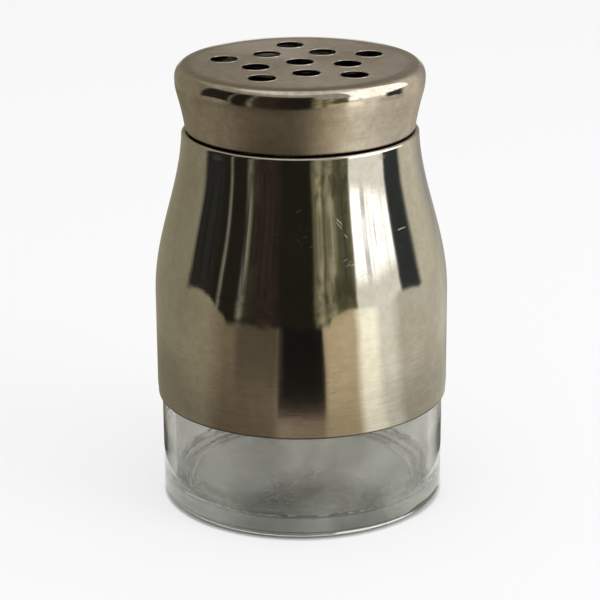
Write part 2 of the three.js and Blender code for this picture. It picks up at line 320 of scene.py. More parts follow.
def draw_outline(name, outline):
    """Draws an outline with extrudes from one corner, and leaves it in edit mode."""
    deselect()
    bpy.ops.mesh.primitive_plane_add(size=MM)
    piece = bpy.context.object
    piece.name = name
    bpy.ops.object.mode_set(mode="EDIT")
    bpy.ops.mesh.select_mode(type="VERT")
    bpy.ops.mesh.merge(type="CENTER")
    bpy.ops.transform.translate(value=(outline[0][0], 0, outline[0][1]))
    for (r0, z0), (r1, z1) in zip(outline, outline[1:]):
        bpy.ops.mesh.extrude_region_move(TRANSFORM_OT_translate={"value": (r1 - r0, 0, z1 - z0)})
    bpy.ops.mesh.select_all(action="SELECT")
    return piece


def close_seams():
    bpy.ops.mesh.select_all(action="SELECT")
    bpy.ops.mesh.remove_doubles(threshold=0.004 * MM)
    bpy.ops.mesh.normals_make_consistent(inside=False)
    bpy.ops.object.mode_set(mode="OBJECT")


def turn_piece(name, outline, steps):
    """Spins an outline round the upright axis."""
    piece = draw_outline(name, outline)
    bpy.ops.mesh.spin(steps=steps, angle=math.tau, center=(0, 0, 0), axis=(0, 0, 1))
    close_seams()
    return piece


def pick_corners(piece, wanted):
    """Selects the corners that a test picks, and leaves the piece in edit mode."""
    choose(piece)
    bpy.ops.object.mode_set(mode="EDIT")
    bpy.ops.mesh.select_mode(type="VERT")
    bpy.ops.mesh.select_all(action="DESELECT")
    bpy.ops.object.mode_set(mode="OBJECT")
    for corner in piece.data.vertices:
        corner.select = wanted(corner)
    bpy.ops.object.mode_set(mode="EDIT")


def apply_modifier(piece, kind, **settings):
    choose(piece)
    modifier = piece.modifiers.new(kind.lower(), kind)
    for name, value in settings.items():
        setattr(modifier, name, value)
    bpy.ops.object.modifier_apply(modifier=modifier.name)


def combine(piece, other, operation):
    """Joins or cuts a piece with another closed mesh, which is used up."""
    apply_modifier(piece, "BOOLEAN", operation=operation, solver="EXACT", object=other)
    bpy.data.objects.remove(other, do_unlink=True)


def smooth(piece, angle=34):
    choose(piece)
    bpy.ops.object.shade_smooth_by_angle(angle=math.radians(angle))


def is_crest(corner, crest):
    return abs(math.hypot(corner.co.x, corner.co.y) - crest) < 0.01 * MM


def screw_ridge(name, wall, crest, root, thread):
    """Draws a ridge's section, screws it up its wall and runs both ends out into the wall."""
    section = (
        (root, -thread["root"] / 2),
        (crest, -thread["crest"] / 2),
        (crest, thread["crest"] / 2),
        (root, thread["root"] / 2),
        (root, -thread["root"] / 2),
    )
    ridge = draw_outline(name, [(r, thread["foot"] + z) for r, z in section])
    bpy.ops.mesh.remove_doubles(threshold=0.004 * MM)
    bpy.ops.object.mode_set(mode="OBJECT")
    ridge.rotation_euler.z = math.tau * thread["start"]
    bpy.ops.object.transform_apply(location=False, rotation=True, scale=False)
    turns = thread["turns"]
    steps = round(THREAD_STEPS * turns)
    lift = THREAD_PITCH * turns
    apply_modifier(ridge, "SCREW", angle=math.tau * turns, screw_offset=lift, steps=steps, render_steps=steps)
    bpy.ops.object.mode_set(mode="EDIT")
    bpy.ops.mesh.select_all(action="SELECT")
    bpy.ops.mesh.fill_holes(sides=4)
    close_seams()
    buried = (root + wall) / 2
    corners = len(section) - 1
    for i in range(steps + 1):
        share = ease(turns * min(i, steps - i) / steps / RUNOUT)
        if share < 1:
            reach = (buried + (crest - buried) * share) / crest
            pick_corners(ridge, lambda corner: corner.index // corners == i and is_crest(corner, crest))
            bpy.ops.transform.resize(value=(reach, reach, 1), center_override=(0, 0, 0))
            bpy.ops.object.mode_set(mode="OBJECT")
    return ridge


def dress(piece, material, node, body):
    piece.data.materials.clear()
    piece.data.materials.append(material)
    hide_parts(node)
    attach(piece, body)


# Shader sums are written as Python sums


class Wire:
    """The output of a node; sums on it add Math nodes."""

    def __init__(self, finish, socket):
        self.finish = finish
        self.socket = socket

    def sum(self, operation, first, second):
        made = self.finish.node("ShaderNodeMath", {"operation": operation}, {0: first, 1: second})
        return made("Value")

    def __add__(self, other):
        return self.sum("ADD", self, other)

    def __radd__(self, other):
        return self.sum("ADD", other, self)

    def __sub__(self, other):
        return self.sum("SUBTRACT", self, other)

    def __rsub__(self, other):
        return self.sum("SUBTRACT", other, self)

    def __mul__(self, other):
        return self.sum("MULTIPLY", self, other)

    def __rmul__(self, other):
        return self.sum("MULTIPLY", other, self)

    def __truediv__(self, other):
        return self.sum("DIVIDE", self, other)

    def larger(self, other):
        return self.sum("MAXIMUM", self, other)


class Finish:
    """A material or a world, and the one method that adds its nodes."""

    def __init__(self, owner):
        self.owner = owner
        owner.use_nodes = True
        self.tree = owner.node_tree
        self.tree.nodes.clear()

    def node(self, kind, settings, sockets):
        made = self.tree.nodes.new(kind)
        for name, value in settings.items():
            if name == "stops":
                ramp = made.color_ramp
                while len(ramp.elements) < len(value):
                    ramp.elements.new(0)
                for element, (place, colour) in zip(ramp.elements, value):
                    element.position = place
                    element.color = (*colour, 1)
            else:
                setattr(made, name, value)
        for name, value in sockets.items():
            if isinstance(value, Wire):
                self.tree.links.new(value.socket, made.inputs[name])
            else:
                made.inputs[name].default_value = value
        return lambda output: Wire(self, made.outputs[output])

    def place(self):
        """Object coordinates, in metres from the foot of the jar."""
        return self.node("ShaderNodeTexCoord", {}, {})("Object")

    def split(self, vector):
        made = self.node("ShaderNodeSeparateXYZ", {}, {"Vector": vector})
        return made("X"), made("Y"), made("Z")

    def reach(self, vector):
        """Distance from the upright axis."""
        x, y, _ = self.split(vector)
        return self.node("ShaderNodeMath", {"operation": "SQRT"}, {0: x * x + y * y})("Value")

    def size(self, value):
        return self.node("ShaderNodeMath", {"operation": "ABSOLUTE"}, {0: value})("Value")

    def away(self, vector, point):
        return self.node("ShaderNodeVectorMath", {"operation": "DISTANCE"}, {0: vector, 1: point})("Value")

    def turned(self, vector, angles):
        return self.node("ShaderNodeMapping", {}, {"Vector": vector, "Rotation": angles})("Vector")

    def stretched(self, vector, scale, shift=(0, 0, 0)):
        mapping = self.node("ShaderNodeMapping", {}, {"Vector": vector, "Scale": scale, "Location": shift})
        return mapping("Vector")

    def noise(self, vector, scale, detail=3.0, roughness=0.5, distortion=0.0):
        sockets = {"Vector": vector, "Scale": scale, "Detail": detail}
        sockets.update({"Roughness": roughness, "Distortion": distortion})
        return self.node("ShaderNodeTexNoise", {}, sockets)("Fac")

    def step(self, value, low, high, start=0.0, end=1.0):
        """Smooth rise from start to end as the value goes from low to high."""
        sockets = {"Value": value, "From Min": low, "From Max": high, "To Min": start, "To Max": end}
        return self.node("ShaderNodeMapRange", {"interpolation_type": "SMOOTHSTEP"}, sockets)("Result")

    def band(self, value, low, high, soft):
        """One between low and high, nought outside, with soft edges."""
        return self.step(value, low - soft, low) * self.step(value, high, high + soft, 1.0, 0.0)

    def line(self, value, middle, half):
        return self.band(value, middle - half, middle + half, half)

    def fall(self, value, limits, end=0.0):
        """One up to the first limit, then a smooth fall to the end at the second."""
        return self.step(value, *limits, 1.0, end)

    def largest(self, wires):
        top = wires[0]
        for wire in wires[1:]:
            top = top.larger(wire)
        return top

    def blend(self, share, first, second):
        settings = {"data_type": "RGBA"}
        made = self.node("ShaderNodeMix", settings, {"Factor": share, 6: first, 7: second})
        return Wire(self, made(2).socket)

    def bump(self, height, strength, distance, below=None):
        sockets = {"Height": height, "Strength": strength, "Distance": distance}
        if below is not None:
            sockets["Normal"] = below
        return self.node("ShaderNodeBump", {}, sockets)("Normal")

    def shader(self, sockets):
        return self.node("ShaderNodeBsdfPrincipled", {}, sockets)("BSDF")

    def mix(self, share, first, second):
        return self.node("ShaderNodeMixShader", {}, {0: share, 1: first, 2: second})("Shader")

    def out(self, surface, kind="ShaderNodeOutputMaterial"):
        self.node(kind, {}, {"Surface": surface})
        return self.owner


def new_finish(name):
    return Finish(bpy.data.materials.new(name))


def colour(r, g, b):
    return (r, g, b, 1.0)


def scratches(steel, place, lean):
    """Sparse fine strokes that lean by the given angles."""
    strokes = steel.noise(steel.stretched(steel.turned(place, lean), (160, 160, 3600)), 1.0, 1.0)
    return steel.step(strokes, 0.74, 0.8)


def worked_steel(name, tones, satin, streaks, mirror_at, edge_shade_at):
    """Stainless sheet, polished where mirror_at says and darkened along one edge with painted shade; the rest
    is brushed satin.
    """
    steel = new_finish(name)
    place = steel.place()
    height = steel.split(place)[2]
    mirror = mirror_at(steel, height, place)
    edge_shade = edge_shade_at(steel, height)
    lines = steel.noise(steel.stretched(place, (120, 120, 2600)), 1.0, 4.0, 0.7)
    hairs = steel.noise(steel.stretched(place, (260, 260, 7500), (3, 1, 0)), 1.0, 2.0, 0.6)
    mottle = steel.noise(place, 70.0, 4.0, 0.6)
    smudge = steel.noise(steel.stretched(place, (1, 1, 0.6)), 28.0, 3.0, 0.55, 0.6)
    patches = steel.step(steel.noise(place, 48.0, 1.0), 0.52, 0.62)
    strokes = [scratches(steel, place, lean) for lean in ((0.4, 0.5, 0), (-0.3, -0.9, 0.2))]
    scratch = steel.largest(strokes) * patches
    rough = satin + (lines - 0.5) * 0.16 + (mottle - 0.5) * 0.12
    fine = 0.06 + (smudge - 0.5) * 0.05 + scratch * 0.2
    roughness = rough * (1 - mirror) + fine * mirror + edge_shade * 0.3
    grain = steel.noise(place, 480.0, 3.0, 0.65)
    tarnish = smudge * 0.35 + mottle * 0.35 + grain * 0.3 + (lines - 0.5) * (1 - mirror) * streaks
    base = steel.blend(steel.step(tarnish, 0.38, 0.62), *tones)
    # Painted shade: the edge that meets the next part is made darker and rougher.
    base = steel.blend(edge_shade * 0.85, base, colour(0.07, 0.055, 0.04))
    waves = steel.noise(steel.stretched(place, (1, 1, 0.8)), 36.0, 1.0, 0.4)
    normal = steel.bump(waves, 1.0, 0.6 * MM)
    brushing = (lines * 0.6 + hairs * 0.4) * (1 - mirror * 0.8)
    normal = steel.bump(brushing, 0.5, 0.04 * MM, normal)
    normal = steel.bump(scratch, 0.6, 0.03 * MM, normal)
    return steel.out(steel.shader({
        "Base Color": base,
        "Metallic": 1.0,
        "Roughness": roughness,
        "Anisotropic": 0.4,
        "Anisotropic Rotation": 0.25,
        "Normal": normal,
    }))


def sleeve_mirror(steel, height, place):
    wander = (steel.noise(place, 26.0, 2.0) - 0.5) * 16 * MM
    return steel.step(height + wander, *SLEEVE_SHINE, 0.74, 1.0)


# Painted shade along the sleeve's hem, where it sits on the glass.
def hem_painted_shade(steel, height):
    return steel.fall(height, (SLEEVE_FOOT + 0.2 * MM, SLEEVE_FOOT + 0.55 * MM))


def cap_mirror(steel, height, place):
    """The roll is polished, and so are the lips of the holes."""
    radius = steel.reach(place)
    roll = steel.step(height, *ROLL_SHINE) * steel.step(radius, *ROLL_REACH)
    raised = steel.step(steel.size(height - CAP_TOP), 0.01 * MM, 0.04 * MM)
    lips = raised * steel.fall(radius, HOLES_REACH)
    return (roll + lips) * 0.9


# Painted shade along the cap's foot, at the seam with the sleeve.
def cap_foot_painted_shade(steel, height):
    return steel.fall(height, (CAP_FOOT + 0.1 * MM, CAP_FOOT + 0.45 * MM))


def floor_dust_shade_and_glints(glass, place, height, radius, wobble, flecks):
    """Masks of the inner floor and its corner, its crumbs, a ring of painted shade in its corner at the
    front, a second ring of painted shade, and rings of painted glints.
    """
    inside = glass.fall(radius, INNER_WALL) * glass.step(height, *INNER_FLOOR)
    floor = inside * glass.fall(height, FLOOR_HEIGHTS)
    corner = floor * glass.step(radius, 26.8 * MM, 28.2 * MM)
    crumbs = glass.step(glass.noise(place, 900.0, 4.0, 0.85), 0.42, 0.58, 0.5, 1.0)
    dusted = glass.fall(glass.away(place, DUST_PLACE) + wobble * 8, (6 * MM, 26 * MM), 0.25)
    heap = floor * crumbs * dusted
    close = glass.away(place, STAIN_AND_SHADE_PLACE)
    nearest = glass.fall(close, (6 * MM, 24 * MM), 0.15)
    # Painted shade: a dark ring in the floor's corner, strongest at the front.
    corner_shade = inside * glass.line(radius + wobble * 0.5, CORNER_SHADE_RING, 0.55 * MM) * nearest
    shade = floor * glass.line(radius + wobble, SHADE_RING, 0.2 * MM) * (1 - flecks)
    # Painted glints: pale rings on the floor standing in for the glass's refraction highlights, weaker at the
    # front.
    rings = glass.largest([glass.line(radius - wobble * 0.6, ring, 0.2 * MM) for ring in PAINTED_GLINT_RINGS])
    ring_glints = floor * rings * flecks * glass.step(close, 14 * MM, 40 * MM, 0.3, 1.0)
    return floor, corner, heap, corner_shade, shade, ring_glints


def foot_seam_shade_and_glints(glass, place, height, radius, wobble, flecks):
    """Masks of the outer foot's painted contact shade, its mould seam and its painted glints."""
    outside = glass.step(radius, *OUTER_WALL)
    rise = height + wobble * 0.3
    darkest_spots = [(glass.away(place, spot), reach) for spot, reach in FOOT_CONTACT_SHADE]
    reached = glass.largest([glass.step(away, 5 * MM, 16 * MM, reach, 0.0) for away, reach in darkest_spots])
    # Painted contact shade: a dark band along the foot's lower edge, higher at its darkest places.
    foot = outside * glass.fall(rise - reached, (0.4 * MM, 0.75 * MM))
    seam = outside * glass.line(rise, MOULD_SEAM, 0.1 * MM)
    patches = glass.step(glass.noise(place, 170.0, 2.0), 0.5, 0.58)
    glint_spot = glass.fall(glass.away(place, FOOT_GLINT_PLACE), (8 * MM, 18 * MM), 0.12)
    # Painted glints: pale patches in a thin band round the foot, most near one place at the front right.
    foot_glints = outside * glass.line(rise, FOOT_GLINT_HEIGHT, 0.22 * MM) * patches.larger(flecks * glint_spot) * glint_spot
    return foot, seam, foot_glints


def dust_shade_and_glints(glass, place, height, radius, under):
    """Share and colour of the dust film on the walls, the crumbs and stains on the floor and underside, the
    painted shade and painted glints on the floor and foot, and the foot's mould seam.
    """
    dusty = glass.noise(place, 60.0, 6.0, 0.65)
    wobble = (dusty - 0.5) * 1.6 * MM
    flecks = glass.step(glass.noise(place, 430.0, 3.0, 0.6), 0.47, 0.54)
    floor, corner, heap, corner_shade, shade, ring_glints = floor_dust_shade_and_glints(glass, place, height, radius, wobble, flecks)
    foot, seam, foot_glints = foot_seam_shade_and_glints(glass, place, height, radius, wobble, flecks)
    stained = under * glass.fall(glass.away(place, STAIN_AND_SHADE_PLACE), (16 * MM, 34 * MM), 0.1)
    chalky = under * glass.step(radius, 25.8 * MM, 27.0 * MM, 0.4, 0.1)
    film = glass.step(dusty, 0.3, 0.75, 0.06, 0.18) * glass.fall(height, FILM_TOP)
    # Dark marks: the crumbs, the underside's stain and the mould seam, with painted shade in the corner ring,
    # the shade ring and along the foot.
    dark = glass.largest([heap * 0.95, corner_shade, foot, seam, shade, stained * 0.8])
    # Pale marks are painted glints on the floor's rings and round the foot.
    pale = ring_glints.larger(foot_glints)
    tone = glass.blend(glass.step(dusty, 0.35, 0.65), colour(0.42, 0.42, 0.34), colour(0.8, 0.8, 0.7))
    # Dust in the floor's corner is made darker, as painted shade.
    tone = glass.blend(corner * 0.7, tone, colour(0.3, 0.3, 0.25))
    tone = glass.blend(dark, tone, colour(0.04, 0.042, 0.022))
    tone = glass.blend(pale, tone, colour(0.95, 0.95, 0.91))
    dust = film * (1 - floor) + floor * 0.3 + corner * 0.2 + chalky
    marks = [heap * 0.95, corner_shade, foot * 0.85, seam * 0.6, shade * 0.45, stained * 0.7, pale * 0.9]
    return dust.larger(glass.largest(marks)), tone


def clear_glass():
    glass = new_finish("clear_glass")
    place = glass.place()
    height = glass.split(place)[2]
    radius = glass.reach(place)
    low = glass.fall(height, (5 * MM, 9 * MM))
    under = glass.fall(height, (1.15 * MM, 1.5 * MM)) * glass.fall(radius, (30 * MM, 31 * MM))
    ripple = glass.noise(glass.stretched(place, (1, 1, 0.5)), 34.0, 2.0, 0.45)
    press = glass.noise(place, 150.0, 3.0, 0.55)
    seeds = glass.noise(place, 420.0, 2.0, 0.5)
    normal = glass.bump(ripple, 0.5, 0.25 * MM)
    normal = glass.bump(press * low, 0.8, 0.22 * MM, normal)
    normal = glass.bump(seeds, 0.12, 0.04 * MM, normal)
    uneven = radius + (press - 0.5) * 1.6 * MM
    rings = glass.largest([glass.line(uneven, ring, 0.5 * MM) for ring in PRESSED_RINGS])
    normal = glass.bump(rings * low * (1 - under), 1.0, 0.6 * MM, normal)
    clear = glass.shader({
        "Base Color": glass.blend(low, colour(0.68, 0.683, 0.655), colour(0.82, 0.83, 0.795)),
        "Roughness": 0.02,
        "IOR": 1.5,
        "Transmission Weight": 1.0,
        "Normal": normal,
    })
    scuffed = glass.shader({
        "Base Color": colour(0.82, 0.83, 0.77),
        "Roughness": 0.25,
        "IOR": 1.02,
        "Transmission Weight": 1.0,
    })
    share, tone = dust_shade_and_glints(glass, place, height, radius, under)
    haze = glass.shader({"Base Color": tone, "Roughness": 0.55})
    return glass.out(glass.mix(share, glass.mix(under * 0.4, clear, scuffed), haze))


def black_plastic():
    plastic = new_finish("insert_plastic")
    place = plastic.place()
    grain = plastic.noise(place, 1500.0, 3.0, 0.6)
    clouds = plastic.noise(place, 90.0, 2.0)
    tone = plastic.blend(clouds, colour(0.016, 0.016, 0.017), colour(0.03, 0.03, 0.031))
    rough = plastic.step(plastic.noise(place, 300.0), 0.3, 0.7, 0.42, 0.58)
    normal = plastic.bump(grain, 0.25, 0.02 * MM)
    return plastic.out(plastic.shader({"Base Color": tone, "Roughness": rough, "Normal": normal}))


def foam():
    pad = new_finish("seal_foam")
    place = pad.place()
    cells = pad.noise(place, 2200.0, 2.0, 0.6)
    tone = pad.blend(pad.noise(place, 160.0, 3.0), colour(0.3, 0.28, 0.24), colour(0.42, 0.4, 0.35))
    normal = pad.bump(cells, 0.5, 0.05 * MM)
    rough = pad.step(cells, 0.3, 0.7, 0.7, 0.9)
    return pad.out(pad.shader({"Base Color": tone, "Roughness": rough, "Normal": normal}))


def silicone():
    bead = new_finish("bond_silicone")
    place = bead.place()
    tone = bead.blend(bead.noise(place, 140.0, 3.0), colour(0.52, 0.51, 0.47), colour(0.68, 0.67, 0.62))
    lumps = bead.noise(place, 500.0, 2.0)
    rough = bead.step(lumps, 0.3, 0.7, 0.35, 0.5)
    normal = bead.bump(lumps, 0.4, 0.1 * MM)
    return bead.out(bead.shader({"Base Color": tone, "Roughness": rough, "Normal": normal}))


# Glass jar


def jar_outline():
    foot = JAR_RADIUS - HEEL_WIDTH
    dome = foot - BEARING_WIDTH
    middle = foot - BEARING_WIDTH / 2
    knurl = STIPPLE_WIDTH / 2
    inside = JAR_RADIUS - JAR_WALL
    ledge = bell_radius(LEDGE, 0)
    throat_head = LEDGE - THROAT_DROP
    throat_foot = throat_head - THROAT_LENGTH
    underside = [(dome * i / 12, PUSH_UP * (1 - (i / 12) ** 2)) for i in range(12)]
    underside.append((dome - DOME_EASE[0], DOME_EASE[1]))
    ring = [(dome, 0), *[(middle + knurl * share, 0) for share in (-1, -0.5, 0.5, 1)]]
    straight = BELL_FOOT - HEEL_HEIGHT
    body = [(JAR_RADIUS - BODY_DRAFT * (1 - i / 5), HEEL_HEIGHT + straight * i / 5) for i in range(5)]
    flare = bell_radius(throat_foot, -JAR_WALL) - NECK_BORE
    throat = [(NECK_BORE + flare * ease(i / 10), throat_head - THROAT_LENGTH * (i / 10)) for i in range(11)]
    corner = (inside - FLOOR_CORNER, JAR_FLOOR + FLOOR_CORNER)
    floor_edge = inside - FLOOR_CORNER
    slope = FLOOR_DISC - FLOOR_GROOVE
    rise = [(FLOOR_GROOVE + slope * i / 5, JAR_FLOOR + FLOOR_RISE * ease(i / 5)) for i in range(6)]
    middle_disc = level(FLOOR_DISC, 0, JAR_FLOOR + FLOOR_RISE, 6)
    return [
        *underside,
        *ring,
        *arc((foot, HEEL_HEIGHT), (HEEL_WIDTH - BODY_DRAFT, HEEL_HEIGHT), -90, 0, 10),
        *body[1:],
        *bell(BELL_FOOT, LEDGE - LEDGE_ROUND, 0, 34),
        *arc((ledge - LEDGE_ROUND, LEDGE - LEDGE_ROUND), (LEDGE_ROUND, LEDGE_ROUND), 15, 90, 4),
        *arc((NECK_RADIUS + NECK_FILLET, LEDGE + NECK_FILLET), (NECK_FILLET, NECK_FILLET), -90, -180, 5),
        *arc((NECK_RADIUS - RIM_ROUND, JAR_TOP - RIM_ROUND), (RIM_ROUND, RIM_ROUND), 0, 90, 5),
        *arc((NECK_BORE + RIM_ROUND, JAR_TOP - RIM_ROUND), (RIM_ROUND, RIM_ROUND), 90, 180, 5),
        *throat,
        *bell(throat_foot, BELL_FOOT, -JAR_WALL, 30)[1:],
        *arc(corner, (FLOOR_CORNER, FLOOR_CORNER), 0, -90, 12),
        *level(floor_edge, FLOOR_GROOVE, JAR_FLOOR, 2),
        *rise,
        *middle_disc,
        (0, JAR_FLOOR + FLOOR_RISE),
    ]


def stipple(jar):
    """Raises every other step of the bearing ring, the knurl that a pressed jar stands on."""
    middle = JAR_RADIUS - HEEL_WIDTH - BEARING_WIDTH / 2

    def on_knurl(corner):
        radius = math.hypot(corner.co.x, corner.co.y)
        step = round(math.atan2(corner.co.y, corner.co.x) / math.tau * GLASS_STEPS)
        return abs(radius - middle) < STIPPLE_WIDTH / 3 and corner.co.z < 0.01 * MM and step % 2 == 0

    pick_corners(jar, on_knurl)
    bpy.ops.transform.translate(value=(0, 0, STIPPLE_DEPTH))
    bpy.ops.object.mode_set(mode="OBJECT")


def make_jar():
    jar = turn_piece("jar_glass", jar_outline(), GLASS_STEPS)
    stipple(jar)
    crest = NECK_RADIUS + THREAD_DEPTH
    ridge = screw_ridge("neck_thread", NECK_RADIUS, crest, NECK_RADIUS - THREAD_ROOT, JAR_THREAD)
    combine(jar, ridge, "UNION")
    smooth(jar)
    dress(jar, clear_glass(), "glass_jar", "jar")


# Steel sleeve and its bond ring


def make_sleeve():
    inner = SLEEVE_ROOM
    outer = inner + SHEET
    hem_top = SLEEVE_FOOT + HEM_HEIGHT
    lip = SHEET / 2
    hem_radius = bell_radius(SLEEVE_FOOT, outer) - HEM_TUCK
    shoulder = SLEEVE_TOP - SLEEVE_TOP_ROUND
    top_radius = bell_radius(shoulder, outer) - SLEEVE_TOP_ROUND
    inner_round = SLEEVE_TOP_ROUND - SHEET
    hem = [(HEM_TUCK * ease(i / 6), SLEEVE_FOOT + lip + (HEM_HEIGHT - lip) * i / 6) for i in range(1, 6)]
    outline = [
        *arc((hem_radius - lip, SLEEVE_FOOT + lip), (lip, lip), -90, 0, 5),
        *[(hem_radius + out, z) for out, z in hem],
        *bell(hem_top, BELL_FOOT, outer, 8)[:-1],
        *bell(BELL_FOOT, shoulder, outer, 44),
        *arc((top_radius, shoulder), (SLEEVE_TOP_ROUND, SLEEVE_TOP_ROUND), 10, 90, 7),
        *arc((FLANGE_BORE + lip, SLEEVE_TOP - lip), (lip, lip), 90, 270, 6),
        *arc((top_radius, shoulder), (inner_round, inner_round), 90, 10, 4),
        *bell(shoulder, BELL_FOOT, inner, 30),
        *bell(BELL_FOOT, hem_top, inner, 4)[1:],
        *[(hem_radius - SHEET + out, z) for out, z in reversed(hem)],
        *arc((hem_radius - lip, SLEEVE_FOOT + lip), (lip, lip), 180, 270, 5),
    ]
    sleeve = turn_piece("sleeve_sheet", outline, STEEL_STEPS)
    smooth(sleeve)
    tones = colour(0.57, 0.55, 0.5), colour(0.47, 0.44, 0.38)
    material = worked_steel("sleeve_steel", tones, 0.22, 1.7, sleeve_mirror, hem_painted_shade)
    dress(sleeve, material, "steel_sleeve", "jar")


def cushion_ring(name, inner, outer, low, high, round_share, steps):
    """A ring of soft stuff with rounded edges, between two radii and two heights."""
    middle = Vector(((inner + outer) / 2, (low + high) / 2))
    half = Vector(((outer - inner) / 2, (high - low) / 2))
    edge = min(half) * round_share
    outline = []
    for side, up, first in ((1, -1, -90), (1, 1, 0), (-1, 1, 90), (-1, -1, 180)):
        centre = (middle.x + side * (half.x - edge), middle.y + up * (half.y - edge))
        outline += arc(centre, (edge, edge), first, first + 90, 4)
    outline.append(outline[0])
    return turn_piece(name, outline, steps)


def make_bond_ring():
    inner = NECK_RADIUS + NECK_FILLET + FIT
    outer = bell_radius(LEDGE, 0) - LEDGE_ROUND
    bead = cushion_ring("bond_bead", inner, outer, bond_low[2], bond_high[2], 0.9, INNER_STEPS)
    smooth(bead)
    dress(bead, silicone(), "sleeve_bond_ring", "jar")


# Sealing ring


def make_seal():
    seal = cushion_ring("seal_ring", WEB_BORE, INSERT_BORE - FIT, seal_low[2], seal_high[2], 0.5, INNER_STEPS)
    smooth(seal)
    dress(seal, foam(), "rim_seal", "seal")


# Thread insert


def make_insert():
    foot = insert_low[2]
    head = insert_high[2]
    radius = INSERT_BORE + INSERT_WALL
    flange = CAP_RADIUS - SHEET - FIT
    flange_foot = ROLL_CENTRE.y - ROLL_HEIGHT * 0.4
    flange_side = flange_foot + 0.13 * ROLL_HEIGHT
    flange_head = ROLL_CENTRE.y + ROLL_HEIGHT * 0.2
    edge = 0.25 * MM
    outline = [
        (INSERT_BORE + edge, foot),
        (radius - edge, foot),
        *arc((radius - edge, foot + edge), (edge, edge), -60, 0, 3),
        (radius, flange_foot),
        (flange - edge, flange_side),
        *arc((flange - edge, flange_side + edge), (edge, edge), -60, 0, 3),
        (flange, flange_head),
        (ROLL_CENTRE.x - FIT, head),
        (WEB_BORE + edge, head),
        *arc((WEB_BORE + edge, head - edge), (edge, edge), 120, 180, 3),
        (WEB_BORE, head - WEB_THICKNESS + edge),
        *arc((WEB_BORE + edge, head - WEB_THICKNESS + edge), (edge, edge), 210, 270, 3),
        (INSERT_BORE - edge, head - WEB_THICKNESS),
        (INSERT_BORE, head - WEB_THICKNESS - edge),
        (INSERT_BORE, foot + edge),
        (INSERT_BORE + edge, foot),
    ]
    insert = turn_piece("thread_insert", outline, INNER_STEPS)
    crest = INSERT_BORE - THREAD_DEPTH
    ridge = screw_ridge("insert_thread", INSERT_BORE, crest, INSERT_BORE + THREAD_ROOT, CAP_THREAD)
    combine(insert, ridge, "UNION")
    smooth(insert)
    dress(insert, black_plastic(), "cap_thread_insert", "cap")


# Perforated cap


def hole_places():
    places = [Vector((0, 0, 0))]
    for radius, first in ((INNER_RING, RING_TURN), (OUTER_RING, RING_TURN + 180 / RING_COUNT)):
        for i in range(RING_COUNT):
            angle = math.radians(first + 360 * i / RING_COUNT)
            places.append(Vector((radius * math.cos(angle), radius * math.sin(angle), 0)))
    return places


def put_at_holes(piece):
    """Copies what is made at the middle hole to the other holes, and joins all."""
    pieces = [piece]
    for place in hole_places()[1:]:
        copy = piece.copy()
        copy.data = piece.data.copy()
        copy.location = place
        bpy.context.collection.objects.link(copy)
        pieces.append(copy)
    choose(*pieces)
    bpy.ops.object.join()
    return piece


def make_punches():
    below = CAP_TOP - 3 * MM
    above = CAP_TOP + 1 * MM
    outline = [(0, below), (HOLE_RADIUS, below), (HOLE_RADIUS, above), (0, above)]
    return put_at_holes(turn_piece("punch", outline, HOLE_STEPS))


def make_lips():
    """The raised round edge that the punch leaves at each hole."""
    centre = (HOLE_RADIUS + LIP_ROUND * (1 - LIP_OVERLAP_SHARE), CAP_TOP + LIP_RISE - LIP_ROUND)
    return put_at_holes(turn_piece("lip", arc(centre, (LIP_ROUND, LIP_ROUND), 0, 360, LIP_STEPS), HOLE_STEPS))


def skirt_growth(share):
    """Share of the skirt's flare at a share of its height, from the table."""
    for (s0, g0), (s1, g1) in zip(SKIRT_SHARES, SKIRT_SHARES[1:]):
        if share <= s1:
            return g0 + (g1 - g0) * (share - s0) / (s1 - s0)
    return 1.0


def smooth_skirt(steps):
    """Skirt points from foot to roll, eased by averaging the table over a short height."""
    points = []
    for i in range(steps + 1):
        share = i / steps
        near = [skirt_growth(min(max(share + SKIRT_SPREAD * k / 4, 0), 1)) for k in range(-4, 5)]
        growth = sum(near) / len(near)
        points.append((
            CAP_FOOT_RADIUS + (CAP_RADIUS - CAP_FOOT_RADIUS) * growth,
            CAP_FOOT + (ROLL_CENTRE.y - CAP_FOOT) * share,
        ))
    return points


